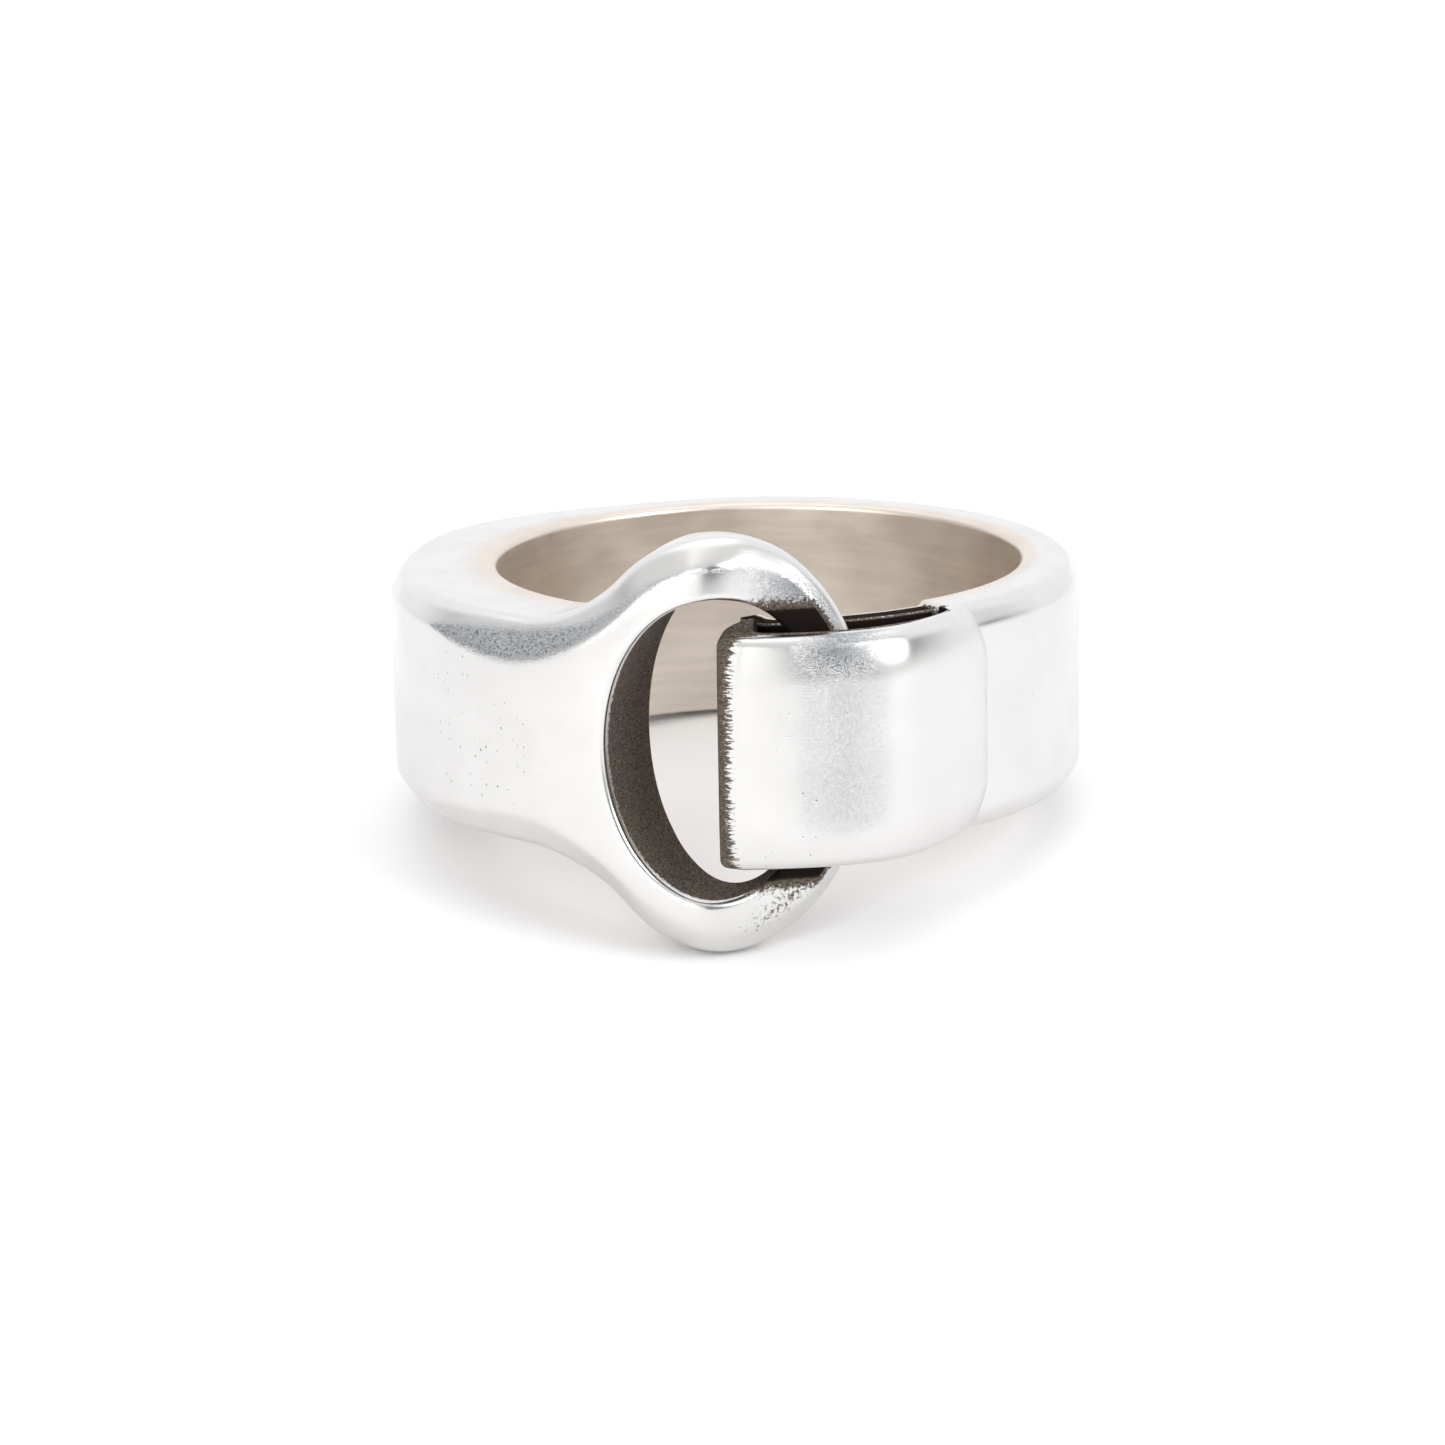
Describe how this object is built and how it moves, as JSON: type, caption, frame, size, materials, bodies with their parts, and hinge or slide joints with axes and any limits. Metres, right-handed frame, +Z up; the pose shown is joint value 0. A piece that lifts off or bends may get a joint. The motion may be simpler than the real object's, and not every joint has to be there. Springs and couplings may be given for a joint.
{
  "type": "linked-end finger ring",
  "caption": "Heavy cast finger ring with an upright oval eye at the front, linked through a folded strap loop, on a thick-shouldered band that gives slightly.",
  "frame": {"origin": "centre of the finger hole: on its axis, halfway up the band", "axes": "+Z up from the surface the ring rests on; -Y towards the front, where the eye is; +X to the side the strap runs off to. The ring rests on the foot of its eye and the back of its band, so its own axis leans 8.41 degrees from +Z towards +Y"},
  "size_m": [0.0258, 0.027, 0.0151],
  "materials": {
    "silver": "polished cast silver with fine pits, darkened brown-black in the recesses"
  },
  "bodies": {
    "eye_half": {"eye_shank": "silver"},
    "strap_half": {"strap_shank": "silver", "strap_fold": "silver"}
  },
  "joints": [
    {"name": "band_flex", "type": "hinge", "parent": "eye_half", "child": "strap_half", "pos_m": [0, 0.01083, -0.0016], "axis": [0, 0.1462, 0.9893], "range_deg": [-2, 2], "stiffness_Nm_per_rad": 0.05}
  ]
}
